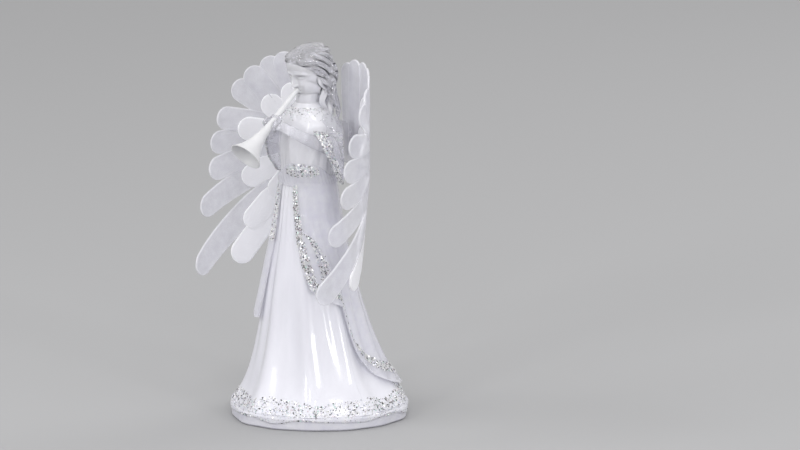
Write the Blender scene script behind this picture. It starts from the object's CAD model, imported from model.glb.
"""A lighted angel figurine of clear, frosted and milky plastic, dressed round its CAD frame.

Shapes are worked out in millimetres, in the frame's own axes, and are scaled to metres as meshes are made.
"""
import math
from functools import partial

import bmesh
import bpy
import numpy as np
from mathutils import Euler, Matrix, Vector


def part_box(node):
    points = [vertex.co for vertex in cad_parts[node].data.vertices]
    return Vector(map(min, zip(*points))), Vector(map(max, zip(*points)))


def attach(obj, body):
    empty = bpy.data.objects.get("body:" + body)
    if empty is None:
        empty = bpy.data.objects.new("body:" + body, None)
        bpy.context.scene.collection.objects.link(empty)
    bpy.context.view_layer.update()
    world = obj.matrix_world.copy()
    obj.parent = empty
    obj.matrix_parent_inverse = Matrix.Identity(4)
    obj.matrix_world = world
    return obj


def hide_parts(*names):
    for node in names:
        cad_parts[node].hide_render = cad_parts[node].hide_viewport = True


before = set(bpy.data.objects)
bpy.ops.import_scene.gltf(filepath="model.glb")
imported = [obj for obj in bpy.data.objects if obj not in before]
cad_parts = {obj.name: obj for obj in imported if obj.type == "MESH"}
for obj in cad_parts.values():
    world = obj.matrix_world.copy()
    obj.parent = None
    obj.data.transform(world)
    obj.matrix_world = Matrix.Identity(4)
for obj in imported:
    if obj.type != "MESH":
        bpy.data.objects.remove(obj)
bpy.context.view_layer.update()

MM = 0.001
DEG = math.pi / 180
SEED = 7

# The camera and the picture that it fits.
CAMERA_AZIMUTH = 47
CAMERA_ELEVATION = 12.5
CAMERA_DISTANCE = 4.0
PICTURE_WIDTH = 800
PICTURE_HEIGHT = 450
PIXELS_PER_MM = 1.503
BASE_PIXEL = (320, 410)
SENSOR_WIDTH = 36.0


def added(name, data):
    """A new object of the scene."""
    obj = bpy.data.objects.new(name, data)
    bpy.context.scene.collection.objects.link(obj)
    return obj


def add_camera():
    turn = Euler(((90 - CAMERA_ELEVATION) * DEG, 0, CAMERA_AZIMUTH * DEG))
    across = (PICTURE_WIDTH / 2 - BASE_PIXEL[0]) / PIXELS_PER_MM * MM
    above = (BASE_PIXEL[1] - PICTURE_HEIGHT / 2) / PIXELS_PER_MM * MM
    data = bpy.data.cameras.new("camera")
    data.sensor_width = SENSOR_WIDTH
    data.lens = SENSOR_WIDTH * CAMERA_DISTANCE * PIXELS_PER_MM / (PICTURE_WIDTH * MM)
    camera = added("camera", data)
    camera.location = turn.to_matrix() @ Vector((across, above, CAMERA_DISTANCE))
    camera.rotation_euler = turn
    bpy.context.scene.camera = camera


# Sizes of the main forms, as in the CAD model.
PLINTH_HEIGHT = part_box("plinth")[1].z / MM
PLINTH_RADIUS = 59
PLINTH_BEVEL = 2
PLINTH_SHARES = (1.04, 1.06, 1, 0.98, 0.99, 1.01, 1, 1.03, 1.05, 1.02, 1.03, 1.09, 1.04, 1, 1.02)
CORNER_SHARE = 0.16  # how far a corner's rounding reaches, as a share of a side
BORE_RADIUS = 49.7
ROBE_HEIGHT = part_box("front_shell")[1].z / MM - PLINTH_HEIGHT
HEM_RADIUS = 57
ROBE_WALL = 2.2
BODY_LEAN = 10
FOLD_DEPTH = 1.5
FOLD_COUNT = 9
FOLD_END_SHARE = 0.72
FOLD_SKEW_SHARE = 0.4
FOLD_SKEW_COUNT = 5
FOLD_TWIST = 6
SEAM_Y = -BODY_LEAN
NECK_Z = PLINTH_HEIGHT + ROBE_HEIGHT
# Share of the robe's height, then half width, half depth and lean as shares.
ROBE_SHARES = (
    (0, 1, 1, 0), (0.022, 0.955, 0.955, 0.02), (0.05, 0.885, 0.885, 0.1), (0.1, 0.79, 0.79, 0.25),
    (0.165, 0.705, 0.705, 0.4), (0.25, 0.62, 0.615, 0.6), (0.36, 0.535, 0.525, 0.8),
    (0.48, 0.46, 0.445, 0.9), (0.6, 0.395, 0.37, 0.95), (0.7, 0.345, 0.32, 1), (0.75, 0.325, 0.295, 1),
    (0.81, 0.35, 0.295, 1), (0.88, 0.385, 0.29, 1), (0.93, 0.38, 0.265, 1), (0.96, 0.31, 0.225, 1),
    (0.985, 0.19, 0.175, 1.02), (1, 0.145, 0.145, 1.05),
)


def from_table(table, key, column):
    """A smooth curve without overshoot through a column of a table, at any keys."""
    table = np.asarray(table, float)
    keys, values = table[:, 0], table[:, column]
    slopes = np.diff(values) / np.diff(keys)
    left, right = slopes[:-1], slopes[1:]
    total = np.where(left + right == 0, 1, left + right)
    inner = np.where(left * right <= 0, 0, 2 * left * right / total)
    tangents = np.concatenate([slopes[:1], inner, slopes[-1:]])
    i = np.clip(np.searchsorted(keys, key) - 1, 0, len(keys) - 2)
    span = keys[i + 1] - keys[i]
    t = np.clip((key - keys[i]) / span, 0, 1)
    rise, start, end = values[i + 1] - values[i], span * tangents[i], span * tangents[i + 1]
    return values[i] + t * start + t**2 * (3 * rise - 2 * start - end) + t**3 * (start + end - 2 * rise)


def mix(a, b, share):
    return a + (b - a) * share


def step(low, high, value):
    """Rises smoothly from 0 to 1 between low and high."""
    t = np.clip((value - low) / (high - low), 0, 1)
    return t * t * (3 - 2 * t)


def hump(value, middle, spread):
    return np.exp(-(((value - middle) / spread) ** 2))


def unit(vectors):
    return vectors / np.maximum(np.linalg.norm(vectors, axis=-1, keepdims=True), 1e-9)


def floats(*values):
    """Arrays of one shape."""
    return np.broadcast_arrays(*(np.asarray(value, float) for value in values))


def circle(count):
    """Angles once round."""
    return np.linspace(0, 2 * np.pi, count, endpoint=False)


def grid(rows, columns):
    """Shares from 0 to 1 down a sheet and across it."""
    return np.linspace(0, 1, rows)[:, None], np.linspace(0, 1, columns)[None]


def upright(radius, angle, z):
    """Points round the upright axis, from +X."""
    radius, angle, z = floats(radius, angle, z)
    return np.stack([radius * np.cos(angle), radius * np.sin(angle), z], -1)


def robe_point(angle, z, offset=0.0):
    """A point on the robe: angle 0 is the front and a quarter turn is the figure's left."""
    angle, z, offset = floats(angle, z, offset)
    share = (z - PLINTH_HEIGHT) / ROBE_HEIGHT
    skew = FOLD_SKEW_SHARE * np.cos(FOLD_SKEW_COUNT * angle + FOLD_TWIST * share)
    fold = FOLD_DEPTH * np.clip(1 - share / FOLD_END_SHARE, 0, 1) * (np.cos(FOLD_COUNT * angle) + skew)
    wide, deep, lean = (from_table(ROBE_SHARES, share, column) for column in (1, 2, 3))
    x = (HEM_RADIUS * wide + fold + offset) * np.sin(angle)
    y = -(HEM_RADIUS * deep + fold + offset) * np.cos(angle) - BODY_LEAN * lean
    return np.stack([x, y, z], -1)


# Meshes.
def numbered(rows, columns, wrap=True):
    """The point numbers of a grid, with the first column again at its end if it wraps."""
    index = np.arange(rows * columns).reshape(rows, columns)
    return np.hstack([index, index[:, :1]]) if wrap else index


def grid_faces(index):
    """Quads between neighbours in a grid of point numbers."""
    corners = index[:-1, :-1], index[:-1, 1:], index[1:, 1:], index[1:, :-1]
    return np.stack(corners, -1).reshape(-1, 4).tolist()


def shell(outer, inner, wrap=False):
    """A closed sheet between two grids of points, with its rims."""
    index = numbered(*outer.shape[:2], wrap)
    count = outer.size // 3
    faces = grid_faces(index) + [face[::-1] for face in grid_faces(index + count)]
    loops = [index[0], index[-1, ::-1]]
    if not wrap:
        loops = [np.concatenate([index[0], index[1:, -1], index[-1, -2::-1], index[-2::-1, 0]])]
    for loop in loops:
        faces += grid_faces(np.stack([loop[::-1], loop[::-1] + count]))
    return np.concatenate([outer.reshape(-1, 3), inner.reshape(-1, 3)]), faces


def capped(rings):
    """A closed body through rings of points."""
    index = numbered(*rings.shape[:2])
    faces = grid_faces(index) + [index[0, -2::-1].tolist(), index[-1, :-1].tolist()]
    return rings.reshape(-1, 3), faces


def combined(parts):
    """Several (points, faces) bodies as one."""
    every, faces, start = [], [], 0
    for points, part_faces in parts:
        every.append(points)
        faces += [[start + i for i in face] for face in part_faces]
        start += len(points)
    return np.concatenate(every), faces


def spline(points, count):
    """A smooth path through points, with as many columns as they have."""
    points = np.asarray(points, float)
    padded = np.concatenate([2 * points[:1] - points[1:2], points, 2 * points[-1:] - points[-2:-1]])
    place = np.linspace(0, len(points) - 1, count)
    i = np.minimum(place.astype(int), len(points) - 2)
    t = (place - i)[:, None]
    a, b, c, d = (padded[i + k] for k in range(4))
    curve = 2 * b + (c - a) * t + (2 * a - 5 * b + 4 * c - d) * t**2 + (3 * b - a - 3 * c + d) * t**3
    return curve / 2


def tube(path, wide, high=None, sides=16, ridges=0, ridge_depth=0.0, up=(0, 0, 1)):
    """A closed tube along a path, with radii at each point and ridges along it."""
    path = np.asarray(path, float)
    along = unit(np.gradient(path, axis=0))
    side = unit(np.cross(along[0], up))
    across = []
    for direction in along:
        side = unit(side - direction * np.dot(side, direction))
        across.append(side)
    angle = circle(sides)
    swell = 1 + ridge_depth * np.cos(ridges * angle)
    radii = np.ones((len(path), 1)) * np.array([wide, wide if high is None else high]).reshape(2, -1, 1)
    wide, high = radii * swell
    x = np.array(across)[:, None] * (wide * np.cos(angle))[..., None]
    y = np.cross(across, along)[:, None] * (high * np.sin(angle))[..., None]
    return capped(path[:, None] + x + y)


TIP_SHARE = 0.12  # of a tube's radius, at its round end
POLE_GAP = 0.05
SHARP_ANGLE = 55 * DEG


def tapered(count, start, end, roundness):
    """Shares of a radius along a tube whose ends are round."""
    t = np.linspace(0, 1, count)
    ends = np.sqrt(np.clip(t / roundness, 0, 1) * np.clip((1 - t) / roundness, 0, 1))
    return mix(start, end, t) * np.clip(ends, TIP_SHARE, 1)


def ball(middle, radii, steps=12):
    polar = np.linspace(POLE_GAP, np.pi - POLE_GAP, steps)[:, None]
    return capped(np.asarray(middle) + upright(np.sin(polar), circle(2 * steps), np.cos(polar)) * radii)


def mesh_object(name, shape):
    points, faces = shape
    data = bpy.data.meshes.new(name)
    data.from_pydata((points * MM).tolist(), [], faces)
    edit = bmesh.new()
    edit.from_mesh(data)
    bmesh.ops.recalc_face_normals(edit, faces=edit.faces)
    edit.to_mesh(data)
    edit.free()
    data.shade_smooth()
    data.set_sharp_from_angle(angle=SHARP_ANGLE)
    return added(name, data)


def read_values(items, name, width, kind=np.float32):
    """A row of values for each of a mesh's vertices or edges."""
    values = np.zeros(len(items) * width, kind)
    items.foreach_get(name, values)
    return values.reshape(-1, width)


def fused(obj, voxel, smoothing):
    """Joins an object's overlapping bodies into one skin with cubes of that size, and smooths it."""
    remesh = obj.modifiers.new("fuse", "REMESH")
    remesh.mode = "VOXEL"
    remesh.voxel_size = voxel * MM
    smooth = obj.modifiers.new("smooth", "SMOOTH")
    smooth.iterations = smoothing
    data = bpy.data.meshes.new_from_object(obj.evaluated_get(bpy.context.evaluated_depsgraph_get()))
    obj.modifiers.clear()
    obj.data = data
    data.shade_smooth()
    return obj


def point_attribute(obj, name, values):
    attribute = obj.data.attributes.new(name, "FLOAT", "POINT")
    attribute.data.foreach_set("value", np.asarray(values, np.float32))


def mark_hollows(obj, rounds, depth):
    """Writes how far each point lies below its smoothed surroundings, 0 to 1 at depth, as "hollow"."""
    data = obj.data
    a, b = read_values(data.edges, "vertices", 2, np.int32).T
    places = read_values(data.vertices, "co", 3).astype(float)
    count = len(places)

    def gathered(values):
        return np.bincount(a, values[b], count) + np.bincount(b, values[a], count)

    neighbours = np.maximum(gathered(np.ones(count)), 1)
    soft = places
    for _ in range(rounds):
        soft = np.stack([gathered(values) / neighbours for values in soft.T], -1)
    below = ((soft - places) * read_values(data.vertices, "normal", 3)).sum(1)
    point_attribute(obj, "hollow", np.clip(below / (depth * MM), 0, 1))


# Materials.
FEATHER_MARKS = ("along", "across", "rim", "layer")
BARB_SPACING = 1.3
# Where the robe turns from milky to clear, in metres.
CLEAR_SPAN = (0.120, 0.185)
THIN_SPAN = (0.130, 0.180)
RIPPLE_SPAN = (0.150, 0.175)


class Nodes:
    """Adds nodes to a tree."""

    def __init__(self, tree):
        self.tree = tree

    def node(self, kind, settings=None, **inputs):
        node = self.tree.nodes.new("ShaderNode" + kind)
        for name, value in (settings or {}).items():
            setattr(node, name, value)
        for name, value in inputs.items():
            self.feed(node, name.replace("_", " ").title(), value)
        return node

    def feed(self, node, socket, value):
        target = node.inputs[socket]
        if isinstance(value, bpy.types.NodeSocket):
            self.tree.links.new(value, target)
        else:
            target.default_value = value

    def ramp(self, factor, stops):
        """Colours between stops, each a place and a colour."""
        node = self.node("ValToRGB", fac=factor)
        elements = node.color_ramp.elements
        while len(elements) < len(stops):
            elements.new(0.5)
        for element, (place, colour) in zip(elements, stops):
            element.position = place
            element.color = colour
        return node.outputs["Color"]

    def place(self, kind="Object"):
        return self.node("TexCoord").outputs[kind]

    def height(self, kind="Object"):
        return self.node("SeparateXYZ", vector=self.place(kind)).outputs["Z"]


class Look(Nodes):
    """A material round one Principled shader."""

    def __init__(self, name, **sockets):
        self.material = bpy.data.materials.new(name)
        self.material.use_nodes = True
        super().__init__(self.material.node_tree)
        self.shader = self.tree.nodes["Principled BSDF"]
        self.set(**sockets)

    def set(self, **sockets):
        for name, value in sockets.items():
            self.feed(self.shader, name.replace("_", " ").title().replace("Ior", "IOR"), value)

    def attribute(self, name, output="Fac"):
        return self.node("Attribute", {"attribute_name": name}).outputs[output]

    def noise(self, feature, detail=2.0, stretch=(1, 1, 1)):
        """Noise whose features are that many millimetres across, longer along axes with a stretch."""
        scale = [1 / s for s in stretch]
        vector = self.node("Mapping", vector=self.place(), scale=scale).outputs[0]
        return self.node("TexNoise", vector=vector, scale=1 / (feature * MM), detail=detail).outputs["Fac"]

    def cloudy(self, noise, low, high, spread=0.2):
        """A colour that drifts between two others."""
        return self.ramp(noise, [(0.5 - spread, low), (0.5 + spread, high)])

    def between(self, value, low, high, start=0.0, end=1.0):
        """A smooth passage from start to end as a value goes from low to high."""
        node = self.node(
            "MapRange", {"interpolation_type": "SMOOTHSTEP"}, value=value,
            from_min=low, from_max=high, to_min=start, to_max=end,
        )
        return node.outputs["Result"]

    def maths(self, operation, a, b=0.0):
        node = self.node("Math", {"operation": operation})
        self.feed(node, 0, a)
        self.feed(node, 1, b)
        return node.outputs[0]

    def times(self, a, b):
        return self.maths("MULTIPLY", a, b)

    def blend(self, factor, a, b):
        node = self.node("Mix", {"data_type": "RGBA"})
        self.feed(node, 0, factor)
        self.feed(node, 6, a)
        self.feed(node, 7, b)
        return node.outputs[2]

    def bump(self, height, depth, strength):
        bump = self.node("Bump", height=height, distance=depth * MM, strength=strength)
        self.set(normal=bump.outputs["Normal"])


def grey(level, tint=0.0):
    """A grey with a little blue and violet in it."""
    return (level * (1 - tint), level * (1 - 1.1 * tint), level * (1 + 0.6 * tint), 1)


def frosted_look(name, level, alpha, tint=0.01):
    look = Look(name, roughness=0.42, ior=1.45, coat_weight=0.2, coat_roughness=0.3, alpha=alpha)
    tones = (grey(level * 0.92, 2 * tint), grey(level, tint))
    look.set(base_color=look.cloudy(look.noise(6, 4), *tones))
    look.bump(look.noise(0.5, 3), 0.05, 0.5)
    return look


def wing_look():
    look = Look(
        "frosted_wing", roughness=0.4, ior=1.45, subsurface_weight=0.08, subsurface_scale=0.003,
        subsurface_radius=(1, 1, 1),
    )
    along, across, rim, layer = (look.attribute(name) for name in FEATHER_MARKS)
    slant = look.maths("ADD", along, look.times(look.maths("ABSOLUTE", across), 0.8))
    barbs = look.maths("SINE", look.times(slant, 2 * math.pi / BARB_SPACING))
    net = look.noise(0.6, 2)
    tone = look.cloudy(look.noise(5, 3), grey(0.76, 0.045), grey(0.86, 0.04))
    tone = look.blend(look.between(net, 0.45, 0.65, 0, 0.35), tone, grey(0.68, 0.05))
    tone = look.blend(look.times(layer, 0.85), tone, grey(0.95, 0.025))
    look.set(
        base_color=look.blend(look.times(rim, 0.25), tone, grey(0.97)),
        alpha=look.maths("ADD", look.between(rim, 0, 1, 0.48, 0.62), look.times(layer, 0.45)),
    )
    look.bump(look.maths("ADD", look.times(barbs, 0.35), net), 0.12, 0.6)
    return look


def robe_look():
    look = Look("milky_robe", roughness=0.16, ior=1.49, coat_weight=0.6, coat_roughness=0.06)
    height = look.height()
    milk = look.cloudy(look.noise(14, 3, (1, 1, 4)), grey(0.72, 0.05), grey(0.79, 0.045))
    look.set(
        base_color=look.blend(look.between(height, *CLEAR_SPAN), milk, grey(0.95, 0.03)),
        transmission_weight=look.between(height, *THIN_SPAN, 0, 0.3),
    )
    look.bump(look.times(look.noise(5, 3), look.between(height, *RIPPLE_SPAN, 0.3, 2)), 0.6, 0.4)
    return look


def clear_look(name, level, transmission, alpha=1.0, ripple=1.2, ior=1.45, tint=0.015):
    look = Look(
        name, roughness=0.09, ior=ior, coat_weight=0.6, coat_roughness=0.04, alpha=alpha,
        transmission_weight=transmission,
    )
    tones = (grey(level * 0.95, 2 * tint), grey(level, tint))
    look.set(base_color=look.cloudy(look.noise(4, 3), *tones))
    look.bump(look.noise(ripple, 2), 0.25 * ripple, 0.5)
    return look


def head_look():
    """Clear plastic, dark in the hollows, and clearest in the hair."""
    look = Look("clear_head", roughness=0.03, ior=1.49, coat_weight=0.3, coat_roughness=0.03)
    hair = look.attribute("hair")
    hollow = look.maths("MAXIMUM", look.attribute("hollow"), look.attribute("groove"))
    tone = look.cloudy(look.noise(5, 2), grey(0.96, 0.03), grey(0.99, 0.02))
    clear = look.times(look.between(hair, 0, 1, 0.5, 0.77), look.between(hollow, 0, 1, 1, 0))
    look.set(base_color=look.blend(hollow, tone, grey(0.04, 0.12)), transmission_weight=clear)
    look.bump(look.noise(4.5, 2), 1.2, look.between(hair, 0, 1, 0.25, 0.6))
    return look


def glitter_look():
    look = Look("glitter", roughness=0.25, metallic=0.45)
    look.set(base_color=look.attribute("flake", "Color"))
    look.bump(look.noise(0.4), 0.02, 0.3)
    return look


def plastic_look(name, colour, roughness, grain=0.6):
    look = Look(name, roughness=roughness, ior=1.46)
    darker = [part * 0.94 for part in colour]
    look.set(base_color=look.cloudy(look.noise(9, 3), (*darker, 1), (*colour, 1), 0.15))
    look.bump(look.noise(grain, 2), 0.03, 0.5)
    return look


def metal_look(name, level, roughness, stretch):
    look = Look(name, metallic=1.0, roughness=roughness)
    look.set(base_color=look.cloudy(look.noise(1.2, 3, stretch), grey(level * 0.82), grey(level)))
    look.bump(look.noise(0.35, 2, stretch), 0.02, 0.4)
    return look


looks = {
    "frosted_plinth": frosted_look("frosted_plinth", 0.75, 0.88, tint=0.035),
    "frosted_horn": frosted_look("frosted_horn", 0.74, 0.95),
    "frosted_peg": frosted_look("frosted_peg", 0.97, 1),
    "wing": wing_look(),
    "robe": robe_look(),
    "drape": clear_look("clear_drape", 0.92, 0, alpha=0.45, ripple=7, tint=0.03),
    "head": head_look(),
    "arm": clear_look("clear_arm", 0.99, 0.78, ripple=4.5, ior=1.12),
    "glitter": glitter_look(),
}


def dress(obj, look, slot, *nodes):
    """Gives a piece its look, body and slot, and the CAD nodes that it replaces."""
    obj.data.materials.clear()
    obj.data.materials.append(looks[look].material)
    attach(obj, "figurine")
    if nodes:
        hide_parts(*nodes)


# Glitter: closed hexagonal flakes, each with its own tilt and colour, set into a surface.
FLAKE_THICKNESS = 0.12
FLAKE_TILT = 0.3
FLAKE_RISE = 0.08
FLAKE_SIDES = 6
FLAKE_SIZE_SHARES = (0.75, 1.2)
NUDGE = 1e-3  # the step that finds a surface's slope
SILVER_SHARE = 0.6  # flakes past this share are dark, and past the next one they flash
FLASH_SHARE = 0.8
SILVER, DARK, FLASH = (0.72, 0.95), (0.03, 0.25), (0.5, 0.85)
FLASH_TINTS = np.array([(0.75, 1, 0.92), (0.82, 0.88, 1), (1, 0.86, 0.92), (0.9, 0.85, 1)])


def flake_colours(random, count):
    """Mostly silver, some dark, some with a cool or warm flash."""
    kind = random.random(count)
    silver, dark, flash = (random.uniform(*span, count) for span in (SILVER, DARK, FLASH))
    level = np.where(kind > FLASH_SHARE, flash, np.where(kind < SILVER_SHARE, silver, dark))
    flashing = kind > FLASH_SHARE
    tints = np.ones((count, 3))
    tints[flashing] = FLASH_TINTS[random.integers(0, len(FLASH_TINTS), flashing.sum())]
    return level[:, None] * tints


def glitter(name, surface, count, size, seed):
    """Scatters flakes over surface(u, v), both from 0 to 1."""
    random = np.random.default_rng(seed)
    u, v = random.random((2, count))
    middle = surface(u, v)
    slopes = np.cross(surface(u + NUDGE, v) - middle, surface(u, v + NUDGE) - middle)
    normal = unit(unit(slopes) + FLAKE_TILT * random.normal(size=(count, 3)))
    side = unit(np.cross(normal, random.normal(size=(count, 3))))
    over = np.cross(normal, side)
    radius = size / 2 * random.uniform(*FLAKE_SIZE_SHARES, count)[:, None, None]
    angle = circle(FLAKE_SIDES)[:, None]
    flat = middle[:, None] + radius * (side[:, None] * np.cos(angle) + over[:, None] * np.sin(angle))
    rise = normal[:, None] * FLAKE_THICKNESS / 2
    rings = np.stack([flat + rise, flat - rise], 1)
    obj = mesh_object(name, combined(capped(pair) for pair in rings))
    obj.data.shade_flat()
    colours = np.ones((count, 2 * FLAKE_SIDES, 4), np.float32)
    colours[..., :3] = flake_colours(random, count)[:, None]
    attribute = obj.data.attributes.new("flake", "FLOAT_COLOR", "POINT")
    attribute.data.foreach_set("color", colours.ravel())
    dress(obj, "glitter", "clear_drape")


# The plinth, with the robe's frosted lip running over its top edge.
LIP_DEPTH = 0.9
LIP_LEVEL = 6.0
LIP_WAVE = 1.19
LIP_EDGE = (-0.5, 0.4)
FOOT_BEVEL = 1.0
PLINTH_TOP_SHARES = (0.9, 0.6, 0.3, 0)
BORE_FOOT = 0.3
PLINTH_COLUMNS = 240


def plinth_radius(angle):
    """The radius of the uneven outline, with its corners a little rounded."""
    shares = np.array(PLINTH_SHARES)
    sector = 2 * np.pi / len(shares)
    total = 0
    for nudge in (-CORNER_SHARE, 0, CORNER_SHARE):
        place = (angle / sector + nudge) % len(shares)
        k = place.astype(int) % len(shares)
        t = place % 1 * sector
        a, b = shares[k], shares[(k + 1) % len(shares)]
        total += a * b * math.sin(sector) / (a * np.sin(t) + b * np.sin(sector - t)) / 3
    return PLINTH_RADIUS * total


def lip_height(angle):
    return LIP_LEVEL + LIP_WAVE * (np.sin(7 * angle + 1) + 0.6 * np.sin(11 * angle))


def make_plinth():
    angle = circle(PLINTH_COLUMNS)
    shoulder = PLINTH_HEIGHT - PLINTH_BEVEL
    turn = np.linspace(0.2, np.pi / 2, 6)
    z = np.concatenate([
        np.linspace(0, FOOT_BEVEL, 4), np.linspace(1.4, shoulder, 16),
        shoulder + PLINTH_BEVEL * np.sin(turn),
    ])[:, None]
    high = np.clip((z - shoulder) / PLINTH_BEVEL, 0, 1)
    inset = np.maximum(FOOT_BEVEL - z, 0) + PLINTH_BEVEL * (1 - np.sqrt(1 - high**2))
    wave = lip_height(angle)
    lip = LIP_DEPTH * (step(wave + LIP_EDGE[0], wave + LIP_EDGE[1], z) - 1)
    sides = upright(plinth_radius(angle) - inset + lip, angle, z)
    top = plinth_radius(angle) - inset[-1]
    rings = [upright(mix(BORE_RADIUS, top, share), angle, z[-1]) for share in PLINTH_TOP_SHARES]
    rings += [upright(BORE_RADIUS, angle, height) for height in (PLINTH_HEIGHT / 2, BORE_FOOT)]
    rings = np.concatenate([sides, rings])
    index = numbered(*rings.shape[:2])
    faces = grid_faces(np.vstack([index, index[:1]]))
    obj = mesh_object("plinth_block", (rings.reshape(-1, 3), faces))
    dress(obj, "frosted_plinth", "frosted_plinth", "plinth")


# The robe: two halves that meet in an upright seam at the sides.
ROBE_ROWS = 150
ROBE_HALF_COLUMNS = 110
SEAM_GAP = 0.05
SHEET_SHARE = 0.55  # of the solid's wall
# Fine pleats: depth, then middle and spread as shares of the height, count round the robe, and twist.
PLEATS = ((0.3, 0.66, 0.16, 31, 5), (0.5, 0.26, 0.26, 17, 3), (0.45, 0.86, 0.06, 13, -30))


def robe_skin(angle, z, offset=0.0):
    """The robe with fine pleats under the waist and on the bodice."""
    share = (z - PLINTH_HEIGHT) / ROBE_HEIGHT
    for depth, middle, spread, count, twist in PLEATS:
        offset = offset + depth * hump(share, middle, spread) * np.cos(count * angle + twist * share)
    return robe_point(angle, z, offset)


def seam_angle(z, offset):
    """The angle at which the robe crosses the seam, found by halving."""
    low, high = np.full_like(z, 0.2 * np.pi), np.full_like(z, 0.8 * np.pi)
    for _ in range(30):
        middle = (low + high) / 2
        behind = robe_skin(middle, z, offset)[..., 1] > SEAM_Y
        low, high = np.where(behind, low, middle), np.where(behind, middle, high)
    return low


def robe_half(front):
    down, share = grid(ROBE_ROWS, ROBE_HALF_COLUMNS)
    z = mix(PLINTH_HEIGHT, NECK_Z, down)
    gap = -SEAM_GAP if front else SEAM_GAP
    sheets = []
    for offset in (0, -ROBE_WALL * SHEET_SHARE):
        seam = seam_angle(z, offset)
        angle = mix(-seam, seam, share) if front else mix(seam, 2 * np.pi - seam, share)
        points = robe_skin(angle, z, offset)
        points[..., 1] += gap * np.isclose(points[..., 1], SEAM_Y, atol=SEAM_GAP)
        sheets.append(points)
    return shell(*sheets)


BEVEL_END_SHARE = 0.3  # of the bevel, at its top and bottom


def bevelled_box(low, high, bevel):
    """A box with rounded upright edges, and bevels above and below."""
    low, high = np.array(low, float), np.array(high, float)
    turn = (np.pi * (1 + np.arange(4)[:, None] / 2) + np.linspace(0, np.pi / 2, 5)).ravel()
    corners = np.repeat([(-1, -1), (1, -1), (1, 1), (-1, 1)], 5, axis=0) * ((high - low)[:2] / 2 - bevel)
    end = bevel * BEVEL_END_SHARE
    rings = []
    for z, radius in ((low[2], end), (low[2] + bevel, bevel), (high[2] - bevel, bevel), (high[2], end)):
        ring = upright(radius, turn, z)
        ring[:, :2] += (low + high)[:2] / 2 + corners
        rings.append(ring)
    return capped(np.array(rings))


# The wings' tabs and the posts that take them.
WING_TAB_X = 6.5
WING_TAB_LOW, WING_TAB_HIGH = 170, 194
WING_TAB_HALF = 1.1
WING_TAB_FRONT = 6
WING_TAB_BACK = 14.3
WING_TAB_BEVEL = 0.3
POST_REACH = 3.2
POST_RISE = 2
POST_BEVEL = 0.9
POST_FRONT, POST_BACK = -3, 12


def make_robe():
    dress(mesh_object("robe_front", robe_half(True)), "robe", "clear_body", "front_shell")
    posts = []
    for x in (-WING_TAB_X, WING_TAB_X):
        low = (x - POST_REACH, POST_FRONT, WING_TAB_LOW - POST_RISE)
        posts.append(bevelled_box(low, (x + POST_REACH, POST_BACK, WING_TAB_HIGH + POST_RISE), POST_BEVEL))
    back = mesh_object("robe_back", combined([robe_half(False), *posts]))
    dress(back, "robe", "clear_body", "back_shell")


# The overskirt.
WAIST_SHARE = 0.7475
WAIST_Z = PLINTH_HEIGHT + ROBE_HEIGHT * WAIST_SHARE
BAND_HEIGHT = 7
BAND_RISE = 8.5
BAND_FOOT = 0.4
BAND_PEAK = 32 * DEG
BAND_RISE_SPAN = (75 * DEG, 22 * DEG)
BAND_ROWS, BAND_COLUMNS = 15, 200
PLAIT_DEPTH, PLAIT_COUNT, PLAIT_LEAN = 0.2, 46, 9
DRAPE_THICKNESS = 1.5
DRAPE_DROP = (WAIST_Z - PLINTH_HEIGHT) * 0.967
DRAPE_FLARE = 2.2
DRAPE_GAP = 0.3
DRAPE_START_DEG = (14, 48)
DRAPE_END_DEG = (339, 335)
DRAPE_FOLD_COUNT = 19
DRAPE_FOLD_DEPTH = 0.6
DRAPE_EDGE_BEND = 1.5
DRAPE_ROWS = 110
DRAPE_COLUMNS = 420
# Share of the way round, then share of the drop.
DRAPE_HEM_SHARES = (
    (0, 0.475), (0.04, 0.505), (0.09, 0.54), (0.124, 0.56), (0.137, 0.69), (0.15, 0.79), (0.18, 0.86),
    (0.22, 0.91), (0.26, 0.94), (0.33, 0.975), (0.45, 1), (0.57, 0.98), (0.66, 0.86), (0.72, 0.74),
    (0.79, 0.68), (0.9, 0.66), (1, 0.635),
)


def drape_point(around, down, offset=0.0):
    """A point on the overskirt: around runs from its left front edge to its right one."""
    hem = from_table(DRAPE_HEM_SHARES, around, 1)
    edge = np.clip(down * hem / DRAPE_HEM_SHARES[0][1], 0, 1) ** DRAPE_EDGE_BEND
    angle = mix(mix(*DRAPE_START_DEG, edge), mix(*DRAPE_END_DEG, edge), around) * DEG
    z = WAIST_Z - DRAPE_DROP * down * hem
    fold = DRAPE_FOLD_DEPTH * (1 - np.cos(2 * np.pi * DRAPE_FOLD_COUNT * around + 2 * down)) * down
    return robe_point(angle, z, DRAPE_GAP + fold + DRAPE_FLARE * down**2 + offset)


DRAPE_SPAN = 150  # millimetres round the drape, near enough
DRAPE_FALL = 90  # and down it
DRAPE_EDGE = 0.7  # how thin it is at its edges
BEAD_HEIGHT = 0.25
BEAD_PLACE, BEAD_SPREAD = 5.5, 1.2


def drape_skin(around, down, rise=0.0):
    """A point on the overskirt's outside, which thins out towards its edges behind a low bead."""
    margin = np.minimum(np.minimum(around, 1 - around) * DRAPE_SPAN, (1 - down) * DRAPE_FALL)
    bead = BEAD_HEIGHT * hump(margin, BEAD_PLACE, BEAD_SPREAD)
    thick = mix(DRAPE_EDGE, DRAPE_THICKNESS, step(0, 4, margin)) + bead
    return drape_point(around, down, thick + rise)


def edge_band(down):
    """The width of the glittered band along the front edge."""
    return mix(5, 7.5, down**1.5)


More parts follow.
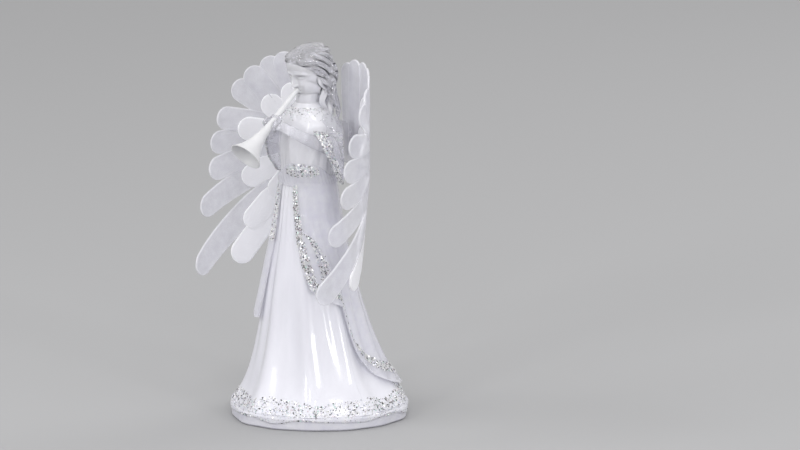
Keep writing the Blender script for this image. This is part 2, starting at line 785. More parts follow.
# The leaf-shaped fold beside the front edge: its ends down the drape, and its width at shares of its length.
LEAF_TOP = 0.42
LEAF_END = 0.995
LEAF_HEIGHT = 2.3
LEAF_FOOT = DRAPE_THICKNESS / 2
LEAF_ROWS, LEAF_COLUMNS = 60, 24
LEAF_WIDTHS = ((0, 2), (0.1, 8), (0.31, 13), (0.6, 12), (0.8, 6.5), (1, 1.5))


def leaf_point(along, across, offset):
    """A point of the leaf: along from its top to the tip, and across from the front edge."""
    down = mix(LEAF_TOP, LEAF_END, along)
    place = edge_band(down) * 0.8 + across * from_table(LEAF_WIDTHS, along, 1)
    crown = (offset - LEAF_FOOT) * np.sin(np.pi * np.clip(0.12 + 0.76 * across, 0, 1)) ** 0.5
    return drape_point(place / DRAPE_SPAN, down, LEAF_FOOT + crown)


def band_height(angle, share):
    """How high a share of the waistband's height is: it rises over the front opening."""
    off = np.abs((angle - BAND_PEAK + np.pi) % (2 * np.pi) - np.pi)
    return WAIST_Z - BAND_HEIGHT / 2 + share * (BAND_HEIGHT + BAND_RISE * step(*BAND_RISE_SPAN, off))


def band_bulge(share):
    return BAND_FOOT + DRAPE_THICKNESS * (1 - np.abs(2 * share - 1) ** 2.5)


def make_overskirt():
    down, around = grid(DRAPE_ROWS, DRAPE_COLUMNS)
    skirt = shell(drape_skin(around, down), drape_point(around, down))
    share = grid(BAND_ROWS, 1)[0]
    angle = circle(BAND_COLUMNS)
    plaits = PLAIT_DEPTH * np.cos(PLAIT_COUNT * angle + PLAIT_LEAN * (share - 0.5))
    height = band_height(angle, share)
    outer = robe_point(angle, height, DRAPE_GAP + band_bulge(share) + plaits)
    band = shell(outer, robe_point(angle, height, DRAPE_GAP), wrap=True)
    along, across = grid(LEAF_ROWS, LEAF_COLUMNS)
    leaf = shell(leaf_point(along, across, LEAF_HEIGHT), leaf_point(along, across, LEAF_FOOT))
    obj = mesh_object("overskirt_drape", combined([skirt, band, leaf]))
    dress(obj, "drape", "clear_drape", "overskirt")


# The wings: crowned feathers with ribs and a raised rim, curled forward, on a root plate with a tab.
WING_ROOT_X = 12
WING_ROOT_Y = 15
WING_RADIUS = 54
WING_REACH = 90
WING_BOTTOM = 88
WING_HEIGHT = 152
WING_THICKNESS = 1.7
FEATHER_WIDTH = 16
FEATHER_LAYER = 0.7
FEATHER_BACK_SHARE = 0.35
FEATHER_STAGGER_SHARE = 0.55
FEATHER_ROOT_SHARE = 0.55
WING_PLATE_SHARES = (-0.115, 0.24)
PLATE_LAYER = -0.45  # thinner than a feather's 0
WING_BOW = 6.3
WING_BOW_ANGLE = 43 * DEG
WING_BOW_TOP = 167
PLATE_FRONT, PLATE_BACK = 1.35, 0.15
PLATE_RISE = 2
PLATE_CROWN = 0.35
PLATE_STEPS = 20
QUILL_HEIGHT, QUILL_SPREAD = 0.3, 0.7
RIB_DEPTH, RIB_SPACING = 0.07, 2.4
FEATHER_CROWN = 0.3
FEATHER_SINK = 0.55
# Root and tip of each feather and its width, as shares; then its row.
FEATHER_SHARES = (
    (0.03, 0.56, 0.01, 0.97, 0.85, 0), (0.1, 0.58, 0.1, 0.99, 0.9, 0), (0.16, 0.6, 0.23, 0.99, 0.95, 0),
    (0.2, 0.62, 0.36, 0.975, 1, 0), (0.2, 0.62, 0.48, 0.95, 1, 0), (0.22, 0.62, 0.62, 0.9, 1, 0),
    (0.22, 0.62, 0.73, 0.835, 1, 0), (0.22, 0.62, 0.87, 0.695, 1, 0), (0.22, 0.6, 0.93, 0.58, 0.98, 0),
    (0.2, 0.58, 0.945, 0.455, 1, 0), (0.2, 0.55, 1.03, 0.29, 1, 0), (0.16, 0.52, 1.08, 0.03, 1.05, 0),
    (0.14, 0.5, 0.72, 0.05, 1.05, 1), (0.24, 0.7, 0.3, 0.84, 1, 1), (0.32, 0.68, 0.5, 0.77, 1, 1),
    (0.38, 0.615, 0.7, 0.64, 1, 1), (0.37, 0.5, 0.66, 0.4, 1, 1), (0.33, 0.4, 0.63, 0.2, 1, 1),
    (0.2, 0.5, 0.44, 0.33, 1, 2), (0.18, 0.63, 0.38, 0.7, 1.05, 2),
)


def wing_point(side, out, z, forward):
    """A point of a wing's sheet, moved forward from its back by that much."""
    angle = out / WING_RADIUS
    radius = WING_RADIUS - forward
    bow = WING_BOW * np.maximum(WING_BOW_TOP - z, 0) / (WING_BOW_TOP - WING_BOTTOM)
    x = side * (WING_ROOT_X + radius * np.sin(angle) - bow * math.cos(WING_BOW_ANGLE))
    y = WING_ROOT_Y - WING_RADIUS + radius * np.cos(angle) - bow * math.sin(WING_BOW_ANGLE)
    return np.stack(floats(x, y, z), -1)


def feather(side, values, index):
    """One feather's shape, and its points' places along and across it, nearness to its rim and layer."""
    root_out, root_up, tip_out, tip_up, width_share, row = values
    root = np.array([root_out * WING_REACH, WING_BOTTOM + root_up * WING_HEIGHT])
    tip = np.array([tip_out * WING_REACH, WING_BOTTOM + tip_up * WING_HEIGHT])
    length = np.linalg.norm(tip - root)
    direction = (tip - root) / length
    half = FEATHER_WIDTH * width_share / 2
    straight = length - half
    cap = np.sin(np.linspace(0, np.pi / 2, 14)) * half
    along = np.concatenate([np.linspace(0, straight, 34)[:-1], straight + cap])[:, None]
    grown = mix(FEATHER_ROOT_SHARE, 1, np.clip(along / (straight / 2), 0, 1))
    width = half * grown * np.sqrt(np.clip(1 - (np.clip(along - straight, 0, half) / half) ** 2, 4e-4, 1))
    v = np.sin(np.linspace(-1, 1, 23) * np.pi / 2)[None]
    across = width * v
    inside = np.minimum(width * (1 - np.abs(v)), length - along)
    rim = 1 - step(0.1, 1.1, inside)
    lift = (row + (FEATHER_STAGGER_SHARE if index % 2 else 0)) * FEATHER_LAYER
    quill = QUILL_HEIGHT * hump(across, 0, QUILL_SPREAD) * (1 - along / length)
    ribs = RIB_DEPTH * np.cos(2 * np.pi * across / RIB_SPACING) * step(0.5, 2, inside)
    crown = FEATHER_CROWN * (1 - v**2) + 0.06 * rim + quill + ribs
    edge = 0.3 * (1 - step(0, 0.6, inside))
    out = root[0] + direction[0] * along - direction[1] * across
    up = root[1] + direction[1] * along + direction[0] * across
    shape = shell(
        wing_point(side, out, up, WING_THICKNESS + lift - FEATHER_SINK + crown - edge),
        wing_point(side, out, up, lift * FEATHER_BACK_SHARE + 0.12 * rim + edge),
    )
    marks = floats(along, across, rim, min(row, 1))
    return shape, np.tile(np.stack(marks).reshape(len(marks), -1), 2)


def make_wing(side, name, node):
    feathers = [feather(side, row, index) for index, row in enumerate(FEATHER_SHARES)]
    out = np.linspace(*WING_PLATE_SHARES, PLATE_STEPS)[None] * WING_REACH
    v = np.linspace(-1, 1, PLATE_STEPS)[:, None]
    z = (WING_TAB_LOW + WING_TAB_HIGH) / 2 + ((WING_TAB_HIGH - WING_TAB_LOW) / 2 + PLATE_RISE) * v
    crown = PLATE_CROWN * (1 - v**4)
    front = wing_point(side, out, z, PLATE_FRONT + crown)
    plate = shell(front, wing_point(side, out, z, PLATE_BACK - 0.1 * crown))
    x = side * WING_TAB_X
    low = (x - WING_TAB_HALF, WING_TAB_FRONT, WING_TAB_LOW)
    tab = bevelled_box(low, (x + WING_TAB_HALF, WING_TAB_BACK, WING_TAB_HIGH), WING_TAB_BEVEL)
    obj = mesh_object(name, combined([*(shape for shape, _ in feathers), plate, tab]))
    marks = np.concatenate([values for _, values in feathers], 1)
    spare = len(obj.data.vertices) - marks.shape[1]
    for label, values, rest in zip(FEATHER_MARKS, marks, (0, 0, 0, PLATE_LAYER)):
        point_attribute(obj, label, np.append(values, np.full(spare, rest)))
    dress(obj, "wing", "frosted_wing", node)


# The head, in its own frame: height share, then half width and half depth in front and behind as shares.
HEAD_MIDDLE = np.array([0, -9, 232])
HEAD_PITCH = 20 * DEG
HEAD_WIDTH, HEAD_DEPTH, HEAD_HEIGHT = 29, 32, 36
HEAD_SHARES = (
    (-0.5, 0.1, 0.28, 0.02), (-0.44, 0.2, 0.37, 0.16), (-0.3, 0.33, 0.42, 0.34),
    (-0.12, 0.42, 0.43, 0.45), (0.08, 0.47, 0.44, 0.5), (0.26, 0.46, 0.42, 0.49),
    (0.4, 0.36, 0.32, 0.38), (0.48, 0.19, 0.16, 0.2), (0.5, 0.05, 0.04, 0.05),
)
CROWN_LOW_SHARE = 0.9  # how much of its height above the brow the crown keeps
LIPS_SHARES = (0, -0.42, -0.22)
HEAD_SIZE = np.array([HEAD_WIDTH, HEAD_DEPTH, HEAD_HEIGHT])
HEAD_TURN = np.array([
    (1, 0, 0), (0, math.cos(HEAD_PITCH), math.sin(HEAD_PITCH)),
    (0, -math.sin(HEAD_PITCH), math.cos(HEAD_PITCH)),
])
HORN_DIRECTION = np.array([0, -math.cos(40 * DEG), -math.sin(40 * DEG)])
HORN_LENGTH = 60


def in_head(points):
    """From the head's own axes, in millimetres from its middle, to the frame's."""
    return np.asarray(points, float) @ HEAD_TURN + HEAD_MIDDLE


LIPS = in_head(LIPS_SHARES * HEAD_SIZE)


def rise(height):
    """How high a share of the head's height lies over its middle, in millimetres."""
    return height * HEAD_HEIGHT * mix(1, CROWN_LOW_SHARE, step(-0.05, 0.5, height))


def skull_point(around, height, out=0.0):
    """A point on the head in its own axes: around from the face to its left, height as a share."""
    around, height, out = floats(around, height, out)
    wide, front, back = (from_table(HEAD_SHARES, height, k) for k in (1, 2, 3))
    depth = mix(back, front, step(-0.3, 0.3, np.cos(around)))
    x, y = wide * HEAD_WIDTH * np.sin(around), -depth * HEAD_DEPTH * np.cos(around)
    flat = np.stack([x, y, rise(height)], -1)
    return flat + unit(flat / HEAD_SIZE**2) * out[..., None]


# The face, on plain proportions. For each feature: how far it stands forward, its place and spread across,
# its place and spread up the head, and how it bends away from a place across.
FACE_FEATURES = (
    (1.1, 1.7, 0.9, -4.4, 1.1, 0, 0),  # sides of the nose
    (-1.9, 5, 3, 1, 2, 0, 0),  # sockets
    (1.6, 5, 2.3, 0.5, 1.35, 0, 0),  # lids
    (-0.45, 5, 2.2, -0.3, 0.32, 0.05, 5),  # lashes
    (1, 4.8, 3.6, 3.9, 1, -0.05, 4),  # brows
    (0.9, 6.6, 3, -4.8, 3, 0, 0),  # cheeks
    (1.2, 0, 2.6, -7.3, 0.8, 0, 0),  # lips
    (1.2, 0, 2.6, -9.4, 0.85, 0, 0),
    (-0.7, 0, 2.9, -8.3, 0.4, 0, 0),  # mouth
    (-0.7, 0, 3, -11.2, 0.9, 0, 0),  # below the lips
    (1.5, 0, 3.4, -14.0, 2.2, 0, 0),  # chin
)


def face_relief(x, z):
    """How far the face stands forward, in millimetres, at a place across and up the head."""
    nose = mix(0.9, 3.6, step(3.5, -4.2, z)) * hump(x, 0, mix(1, 1.9, step(2, -4, z)))
    relief = nose * step(-6.2, -4.4, z) * step(5.5, 1.5, z)
    side = np.abs(x)
    for forward, across, spread, up, tall, bend, off in FACE_FEATURES:
        relief += forward * hump(side, across, spread) * hump(z, up + bend * (side - off) ** 2, tall)
    return relief


# Half of the face's opening in the hair, in degrees, by the height up the head as a share.
FACE_OPENING = ((-0.5, 82), (-0.3, 76), (-0.1, 70), (0.1, 58), (0.22, 42), (0.3, 22), (0.34, 0), (0.5, 0))
# The hair's relief: a lock's height as a share of the head's, its depth, its strands, slope and wave.
LOCK_SHARE = 0.19
LOCK_DEPTH = 2.2
STRAND_DEPTH = 0.16
STRANDS_A_LOCK = 3
LOCK_SLOPE = 0.36
LOCK_WAVE = 0.085
FILLED_SHARES = (0.28, 0.36)  # over these heights the hair closes across the crown
CROWN_SHARES = (0.46, 0.24)
NECK_PATH = ((0, -10.6, NECK_Z - 1), (0, -10.2, NECK_Z + 6), (0, -8.6, NECK_Z + 13))
NECK_RADII = (7.6, 6.4)
HEAD_ROWS, HEAD_COLUMNS = 150, 220
HEAD_VOXEL = 0.34
HOLLOW_ROUNDS, HOLLOW_DEPTH = 14, 0.3


def hair_flow(around, height):
    """The turn from the face, how many locks down from the crown a place is, and how near a groove."""
    turn = np.abs((around + np.pi) % (2 * np.pi) - np.pi)
    wave = LOCK_WAVE * np.sin(3.1 * turn + 0.5 + 0.6 * (np.sin(around) < 0) * step(0, 0.7, turn))
    flow = (height + LOCK_SLOPE * turn + wave) / LOCK_SHARE
    return turn, flow, np.abs(2 * (flow % 1) - 1)


def hair_cover(turn, height):
    """Where the hair is, from 0 at the face's opening to 1, and how thick it has grown there."""
    past = turn - from_table(FACE_OPENING, height, 1) * DEG
    cover = step(-2 * DEG, 12 * DEG, past) * step(0.2, 0.3, height + turn)
    return np.maximum(cover, step(*FILLED_SHARES, height)), step(0, 30 * DEG, past)


def hair_relief(around, height):
    """The hair's thickness over the skull."""
    turn, flow, place = hair_flow(around, height)
    cover, grown = hair_cover(turn, height)
    fullness = step(*CROWN_SHARES, height) * grown
    lock = LOCK_DEPTH * mix(0.15, 1 - place**4, fullness)
    strands = STRAND_DEPTH * np.cos(2 * np.pi * STRANDS_A_LOCK * flow) * fullness
    return cover * (lock * mix(0.3, 1, grown) + strands) * mix(0.4, 1, step(20 * DEG, 70 * DEG, turn))


def hair_marks(points):
    """How far in the hair, and how deep in a groove between two locks, each point is, 0 to 1."""
    x, y, z = ((points - HEAD_MIDDLE) @ HEAD_TURN.T).T
    shares = np.linspace(-1, 0.5, 200)
    height = np.interp(z, rise(shares), shares)
    turn, flow, place = hair_flow(np.arctan2(x / HEAD_WIDTH, -y / HEAD_DEPTH), height)
    cover = hair_cover(turn, height)[0]
    depth = 0.7 + 0.3 * np.sin(4.2 * turn + 2.4 * np.floor(flow))
    edges = step(0.2, 0.8, cover) * step(0.46, 0.34, height) * step(-0.42, -0.3, height)
    return cover, step(0.5, 0.76, place) * depth * edges


# Falling locks: how many, their points, places round the head in degrees, sway either way, radii, how low
# they are drawn over the skull, how far down they end, and where they stand off most.
LOCK_COUNT = 11
LOCK_POINTS = 40
LOCK_TURNS = (90, 270)
LOCK_SWAY = 9
LOCK_RADII = (3.6, 1.6)
LOCK_FLATNESS = 0.85
LOCK_HANG = -0.34
LOCK_ENDS = (-0.98, -0.86)
LOCK_SPREAD = (43, 30)
# Down a lock: height share, share of its sway, distance off the skull, and share of its spread.
LOCK_SHARES = (
    (0.14, -1, -2.6, 0), (-0.12, 1, 0.4, 0.3), (-0.32, -1, 1, 0.4), (-0.52, 1, 1.6, 0.6),
    (-0.74, -0.5, 1.8, 1),
)


def hair_locks():
    """Falling locks round the sides and back."""
    locks = []
    for k, share in enumerate(np.linspace(0, 1, LOCK_COUNT)):
        turn = mix(*LOCK_TURNS, share)
        sway = LOCK_SWAY if k % 2 else -LOCK_SWAY
        spread = 7 * hump(abs(turn - 180), *LOCK_SPREAD)
        reach = mix(*LOCK_ENDS, share) + (0.05 if k % 2 else 0)
        rows = (*LOCK_SHARES, (reach, 0, 2.2, 1))
        points = [(turn + sway * aside, height, off + spread * part) for height, aside, off, part in rows]
        around, height, off = spline(points, LOCK_POINTS).T
        path = in_head(skull_point(around * DEG, np.clip(height, LOCK_HANG, 0.49), off))
        path[:, 2] -= np.maximum(LOCK_HANG - height, 0) * HEAD_HEIGHT
        wide = tapered(LOCK_POINTS, *LOCK_RADII, 0.3)
        up = path[0] - HEAD_MIDDLE
        locks.append(tube(path, wide, wide * LOCK_FLATNESS, sides=30, ridges=4, ridge_depth=0.13, up=up))
    return locks


def make_head():
    around = circle(HEAD_COLUMNS)
    height = (0.5 * np.sin(np.linspace(-np.pi / 2, np.pi / 2, HEAD_ROWS)))[:, None]
    skull = skull_point(around, height, hair_relief(around, height))
    forward = step(0.25, 0.8, np.cos(around)) * step(-0.5, -0.42, height)
    skull[..., 1] -= face_relief(skull[..., 0], skull[..., 2]) * forward
    neck = tube(spline(NECK_PATH, 12), np.linspace(*NECK_RADII, 12), sides=40, up=(0, 1, 0))
    parts = [capped(in_head(skull)), neck, *hair_locks()]
    obj = fused(mesh_object("head_and_hair", combined(parts)), HEAD_VOXEL, 1)
    mark_hollows(obj, HOLLOW_ROUNDS, HOLLOW_DEPTH)
    places = read_values(obj.data.vertices, "co", 3).astype(float) / MM
    for label, values in zip(("hair", "groove"), hair_marks(places)):
        point_attribute(obj, label, values)
    dress(obj, "head", "clear_body", "head")


# The horn and its peg.
HORN_TUBE_RADIUS = 1.5
HORN_MOUTH_LENGTH = 2.4
HORN_BELL_RADIUS = 11.3
HORN_FLARE_SHARES = ((0, 0), (0.45, 0.05), (0.65, 0.17), (0.8, 0.38), (0.9, 0.62), (0.96, 0.85), (1, 1))
PEG_RADIUS = 1.649
PEG_LENGTH = 24
PEG_SHARE = 0.4
GRIP_SHARE = 0.48
HORN_WALL = 0.9
HORN_COLUMNS, PEG_COLUMNS = 72, 28
# Along the mouthpiece: distance from the lips and radius.
MOUTH_PROFILE = ((0, 0.9), (0, 1.6), (0.25, 1.95), (0.7, 2), (1.5, 1.8), (2.1, 1.55))
BELL_RIM = ((HORN_LENGTH, HORN_BELL_RADIUS - 0.2), (HORN_LENGTH, HORN_BELL_RADIUS - 0.7))
# Beads round the horn: height and place as a share of its length.
BEADS = ((0.35, 0.72), (0.3, 0.34))
HORN_SIDE = np.array([1.0, 0, 0])
HORN_OVER = np.cross(HORN_DIRECTION, HORN_SIDE)


def make_horn():
    share = np.concatenate([np.linspace(0, 0.6, 24), np.linspace(0.62, 1, 40)])
    distance = mix(HORN_MOUTH_LENGTH, HORN_LENGTH, share)
    radius = mix(HORN_TUBE_RADIUS, HORN_BELL_RADIUS, from_table(HORN_FLARE_SHARES, share, 1))
    bead = sum(height * hump(distance, HORN_LENGTH * place, 0.5) for height, place in BEADS)
    outside = np.stack([distance, radius + bead], -1)
    keep = share > 0.5
    inside = np.stack([distance[keep], np.maximum(radius[keep] - HORN_WALL, 0.25)], -1)[::-1]
    outside[-1, 0] -= 0.35
    inside[0, 0] -= 0.3
    far, wide = np.concatenate([MOUTH_PROFILE, outside, BELL_RIM, inside]).T[..., None, None]
    angle = circle(HORN_COLUMNS)[:, None]
    rings = LIPS + far * HORN_DIRECTION + wide * (np.cos(angle) * HORN_SIDE + np.sin(angle) * HORN_OVER)
    start = LIPS + HORN_DIRECTION * HORN_LENGTH * PEG_SHARE
    end = start + np.array([0, -HORN_DIRECTION[2], HORN_DIRECTION[1]]) * PEG_LENGTH
    peg = tube(np.linspace(start, end, 20), PEG_RADIUS, sides=PEG_COLUMNS, up=HORN_SIDE)
    dress(mesh_object("trumpet_peg", peg), "frosted_peg", "horn")
    dress(mesh_object("trumpet_horn", capped(rings)), "frosted_horn", "horn", "horn")


# The arms, in wide hanging sleeves, with the hands round the horn.
GRIP = LIPS + HORN_DIRECTION * HORN_LENGTH * GRIP_SHARE
SLEEVE_ROWS, SLEEVE_COLUMNS = 48, 56
# For each ring of a sleeve: its middle, then its half height's direction and size, and its half width.
SLEEVE_RINGS = (
    ((11, -8.5, 197), (2, 1, 8), 6),
    ((19.5, -6.0, 193), (3.2, -0.3, 10), 7.5),
    ((26, -4.5, 185), (1.8, -0.6, 11.5), 8.3),
    ((28.8, -5.5, 178.5), (0.2, -1.0, 15), 8.4),
    ((28, -10.5, 177), (-2.8, -3.8, 16.8), 8),
    ((25, -16.0, 178), (-5.5, -6.5, 17.4), 7.2),
)
# Which way is inwards at the shoulder and at the sleeve's mouth.
SLEEVE_INWARD = np.array([(-0.95, -0.3, 0), (-0.55, -0.83, 0.1)])
SLEEVE_POINTS = 60
SLEEVE_WALLS = (4.5, 1.3)


def mirrored(points, side):
    return np.asarray(points, float) * (side, 1, 1)


def sleeve_point(side, along, around, inset=0.0):
    """A point on a sleeve: along from the shoulder to the open mouth, around from its top outwards."""
    along, around = floats(along, around)
    fine = spline([(*middle, *high, wide) for middle, high, wide in SLEEVE_RINGS], SLEEVE_POINTS)
    place = np.clip(along, 0, 1) * (SLEEVE_POINTS - 1)
    i = np.minimum(place.astype(int), SLEEVE_POINTS - 2)
    values = mix(fine[i], fine[i + 1], (place - i)[..., None])
    middle, high, wide = values[..., :3], values[..., 3:6], values[..., 6]
    inward = mix(*SLEEVE_INWARD, step(0, 0.7, place / SLEEVE_POINTS)[..., None])
    outward = unit(np.cross(unit(high), inward))
    over, across = np.cos(2 * np.pi * around), np.sin(2 * np.pi * around)
    ripple = 0.5 * step(0.25, 1, along) * np.cos(10 * np.pi * around + 3 * along) * np.clip(0.4 - over, 0, 1)
    tall = np.linalg.norm(high, axis=-1) + ripple - inset
    wide = wide * (1 + 0.25 * np.minimum(over, 0)) + ripple - inset
    points = middle + unit(high) * (tall * over)[..., None] + outward * (wide * across)[..., None]
    return mirrored(points, side)


def sleeve(side):
    along = grid(SLEEVE_ROWS, 1)[0]
    around = circle(SLEEVE_COLUMNS) / (2 * np.pi)
    inset = mix(*SLEEVE_WALLS, step(0.5, 0.95, along))
    return shell(sleeve_point(side, along, around), sleeve_point(side, along, around, inset), wrap=True)


# From the grip on the horn: the palm, and the thumb's two further points. The wrist's are in the frame.
PALM, PALM_SIZE = (4.8, 0.6, -1.3), (3, 4.4, 3.6)
THUMB_START, THUMB = (-0.6, 1.5, 2), ((1.6, 1.8, 3.6), (-0.4, -0.4, 3.3))
WRIST = ((25, -14, 184), (17, -27, 190.5))
FINGER_COUNT = 4
FINGER_GAP = 2.15
FINGER_REACH = 3.3
FINGER_CURL = (-20 * DEG, 215 * DEG)
SHOULDER, SHOULDER_RADIUS = (14.5, -9.5, 197), 7.5
ARM_VOXEL = 0.42


def hand(side):
    palm = GRIP + mirrored(PALM, side)
    parts = [ball(palm, PALM_SIZE)]
    turn = np.linspace(*FINGER_CURL, 16)[:, None]
    curl = np.cos(turn) * HORN_SIDE * side - np.sin(turn) * HORN_OVER
    for k in range(FINGER_COUNT):
        middle = GRIP + HORN_DIRECTION * (k * FINGER_GAP - 3.6 + side * 1.2)
        path = middle + (FINGER_REACH - 0.12 * k) * curl
        parts.append(tube(path, tapered(16, 1.25, 0.95, 0.15), sides=12, up=HORN_DIRECTION))
    thumb = [palm + mirrored(THUMB_START, side), *(GRIP + mirrored(THUMB, side))]
    parts.append(tube(spline(thumb, 14), tapered(14, 1.2, 0.9, 0.2), sides=12))
    wrist = spline([*mirrored(WRIST, side), palm], 18)
    parts.append(tube(wrist, np.linspace(4.8, 2.8, 18), np.linspace(5, 3, 18), sides=24))
    return parts


def make_arm(side, name, node):
    shoulder = ball(mirrored(SHOULDER, side), SHOULDER_RADIUS)
    obj = fused(mesh_object(name, combined([sleeve(side), shoulder, *hand(side)])), ARM_VOXEL, 2)
    dress(obj, "arm", "clear_body", node)


# Where the glitter lies: for each band a surface over u and v, both from 0 to 1.
HEM_HEIGHT = 8.5
BELT_SPAN = 34 * DEG
COLLAR_DEPTH = 8
SLEEVE_BAND = 0.17


def hem_band(u, v):
    angle = 2 * np.pi * u
    top = HEM_HEIGHT + 1.2 * np.sin(6 * angle) + 0.8 * np.sin(13 * angle)
    return robe_skin(angle, PLINTH_HEIGHT + 0.3 + v * top, 0.15)


def ledge_band(u, v):
    """From the hem over the plinth's rounded edge and down to the lip."""
    angle = 2 * np.pi * u
    flat = plinth_radius(angle) - 0.1 - PLINTH_BEVEL
    bend = np.clip((v - 0.4) / 0.25, 0, 1) * np.pi / 2
    radius = np.minimum(mix(HEM_RADIUS - 2, flat, v / 0.4), flat) + PLINTH_BEVEL * np.sin(bend)
    top = PLINTH_HEIGHT - PLINTH_BEVEL
    fall = np.maximum(top - lip_height(angle), 0) * np.clip((v - 0.65) / 0.35, 0, 1)
    return upright(radius, angle, top + PLINTH_BEVEL * np.cos(bend) - fall)


def front_edge(u, v):
    down = 0.03 + 0.97 * u
    return drape_skin(v * edge_band(down) / DRAPE_SPAN, down, FLAKE_RISE)


def other_edge(u, v):
    return drape_skin(1 - v * mix(6, 4, u) / DRAPE_SPAN, 0.03 + 0.42 * u, FLAKE_RISE)


def drape_hem(u, v):
    return drape_skin(mix(0.06, 0.9, u), 0.95 - 0.05 * v, FLAKE_RISE)


def leaf_edge(u, v):
    return leaf_point(mix(0.04, 1, u), 1 - v * mix(0.45, 0.7, u), LEAF_HEIGHT + 0.2)


def belt(u, v):
    """A bow-shaped patch on the waistband."""
    angle = BAND_PEAK + BELT_SPAN * (2 * u - 1)
    share = 0.72 + (v - 0.5) * (0.56 - 0.34 * (2 * u - 1) ** 2)
    return robe_point(angle, band_height(angle, share), DRAPE_GAP + band_bulge(share))


def collar(u, v):
    return robe_skin(2 * np.pi * u, NECK_Z - 3 - COLLAR_DEPTH * v**2, 0.15)


def sleeve_mouth(side, u, v):
    return sleeve_point(side, 1 - SLEEVE_BAND * v, u, -0.1)


def sleeve_dust(side, u, v):
    return sleeve_point(side, mix(0.05, 0.7, u), v)


# Name, surface, how many flakes, their size, and what is added to the seed.
GLITTER = (
    ("glitter_hem", hem_band, 2300, 1, 0),
    ("glitter_ledge", ledge_band, 1700, 0.9, 1),
    ("glitter_front_edge", front_edge, 900, 1, 2),
    ("glitter_other_edge", other_edge, 260, 1, 3),
    ("glitter_drape_hem", drape_hem, 2600, 1, 4),
    ("glitter_leaf", leaf_edge, 380, 1, 7),
    ("glitter_belt", belt, 420, 0.95, 5),
    ("glitter_collar", collar, 420, 0.7, 6),
    ("glitter_right_sleeve", partial(sleeve_mouth, -1), 900, 0.95, 7),
    ("dust_right_sleeve", partial(sleeve_dust, -1), 420, 0.55, 10),
    ("glitter_left_sleeve", partial(sleeve_mouth, 1), 900, 0.95, 9),
    ("dust_left_sleeve", partial(sleeve_dust, 1), 420, 0.55, 12),
)


# Floor, lamps and world.
FLOOR_SIZE = 40
FLOOR_LEVEL = 0.38
FLOOR_TOP = -0.0002
# Where each lamp stands, its size, its power and whether gloss shows it.
LAMPS = (
    ("key", (-0.75, -1.5, 1.3), (0.9, 0.9), 5.5, False),
    ("fill", (1.5, -1.0, 1), (0.9, 1), 4.5, False),
    ("side", (1.6, 0.35, 0.8), (0.7, 1), 2, False),
    ("back", (0.2, 1.6, 1.2), (1, 0.8), 8, False),
    ("left_glint", (0.25, -1.6, 0.75), (0.2, 0.6), 5.5, True),
    ("right_glint", (1.75, -0.15, 0.6), (0.16, 0.6), 5, True),
    ("high_glint", (-0.9, -0.9, 1.5), (0.3, 0.3), 3, True),
    ("front_glint", (0.95, -1.35, 1.05), (0.08, 0.3), 1.8, True),
    ("top_glint", (0.5, -0.6, 1.8), (0.25, 0.2), 2.5, True),
    ("far_glint", (1.5, -0.7, 1.5), (0.12, 0.12), 1.2, True),
)
LAMP_TARGET = (0, 0, 0.12)
# The world's grey from straight below to straight above.
WORLD_STOPS = ((0, 0.4), (0.49, 0.35), (0.53, 0.3), (0.6, 0.5), (0.68, 0.8), (0.82, 0.9), (1, 0.7))


def add_floor():
    half = FLOOR_SIZE / 2
    data = bpy.data.meshes.new("floor")
    corners = [(x, y, FLOOR_TOP) for x, y in ((-half, -half), (half, -half), (half, half), (-half, half))]
    data.from_pydata(corners, [], [(0, 1, 2, 3)])
    look = Look("studio_floor", roughness=0.65, ior=1.4, base_color=grey(FLOOR_LEVEL, 0.01))
    data.materials.append(look.material)
    added("floor", data)


def add_lamps():
    for name, place, size, power, glossy in LAMPS:
        light = bpy.data.lights.new(name, "AREA")
        light.shape = "RECTANGLE"
        light.size, light.size_y = size
        light.energy = power
        lamp = added(name, light)
        lamp.location = place
        lamp.visible_glossy = glossy
        lamp.rotation_euler = (Vector(LAMP_TARGET) - lamp.location).to_track_quat("-Z", "Y").to_euler()


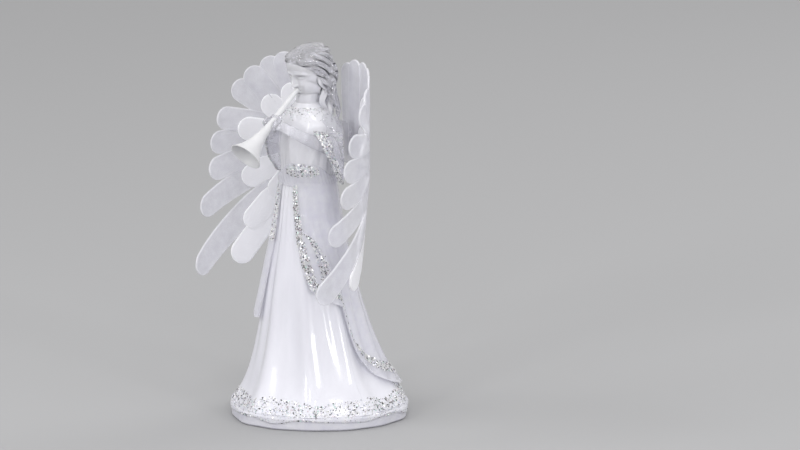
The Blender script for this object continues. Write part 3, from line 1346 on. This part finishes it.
def add_world():
    world = bpy.data.worlds.new("studio")
    bpy.context.scene.world = world
    world.use_nodes = True
    nodes = Nodes(world.node_tree)
    share = nodes.node("MapRange", value=nodes.height("Generated"), from_min=-1).outputs["Result"]
    tone = nodes.ramp(share, [(place, grey(level)) for place, level in WORLD_STOPS])
    nodes.feed(world.node_tree.nodes["Background"], "Color", tone)


# CAD nodes that stay, by the first words of their names: plastic ones with colour and roughness,
PLASTICS = (
    ("light_liner", (0.9, 0.9, 0.93), 0.4),
    ("base_cover", (0.86, 0.86, 0.88), 0.45),
    ("battery_door", (0.84, 0.84, 0.87), 0.42),
    ("battery", (0.10, 0.15, 0.19), 0.3),
    ("switch_body", (0.10, 0.10, 0.11), 0.5),
    ("switch_knob", (0.05, 0.05, 0.055), 0.45, 0.3),
    ("circuit_board", (0.04, 0.22, 0.09), 0.35),
    ("wire_red", (0.55, 0.04, 0.03), 0.45),
    ("wire_yellow", (0.7, 0.5, 0.05), 0.45),
    ("wire_black", (0.03, 0.03, 0.03), 0.45),
)
# and metal ones with grey level, roughness and the stretch of their grain.
METALS = (
    ("door_screw", 0.62, 0.3, (1, 1, 6)),
    ("cover_screw", 0.62, 0.32, (1, 1, 6)),
    ("contact_spring", 0.7, 0.25, (4, 1, 1)),
    ("contact_plate", 0.72, 0.28, (1, 4, 1)),
)


def dress_nodes():
    node_looks = {word: plastic_look(word + "_plastic", *values) for word, *values in PLASTICS}
    node_looks.update((word, metal_look(word + "_steel", *values)) for word, *values in METALS)
    node_looks["lamp"] = clear_look("lamp_dome", 0.95, 0.6)
    for name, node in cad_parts.items():
        found = [word for word in node_looks if name.startswith(word)]
        if found:
            node.data.materials.clear()
            node.data.materials.append(node_looks[max(found, key=len)].material)


bpy.context.scene.view_settings.view_transform = "Standard"
add_camera()
add_floor()
add_lamps()
add_world()
dress_nodes()
make_plinth()
make_robe()
make_overskirt()
make_wing(-1, "wing_right", "right_wing")
make_wing(1, "wing_left", "left_wing")
make_head()
make_horn()
make_arm(-1, "arm_right", "right_arm")
make_arm(1, "arm_left", "left_arm")
for name, surface, count, size, more in GLITTER:
    glitter(name, surface, count, size, SEED + more)
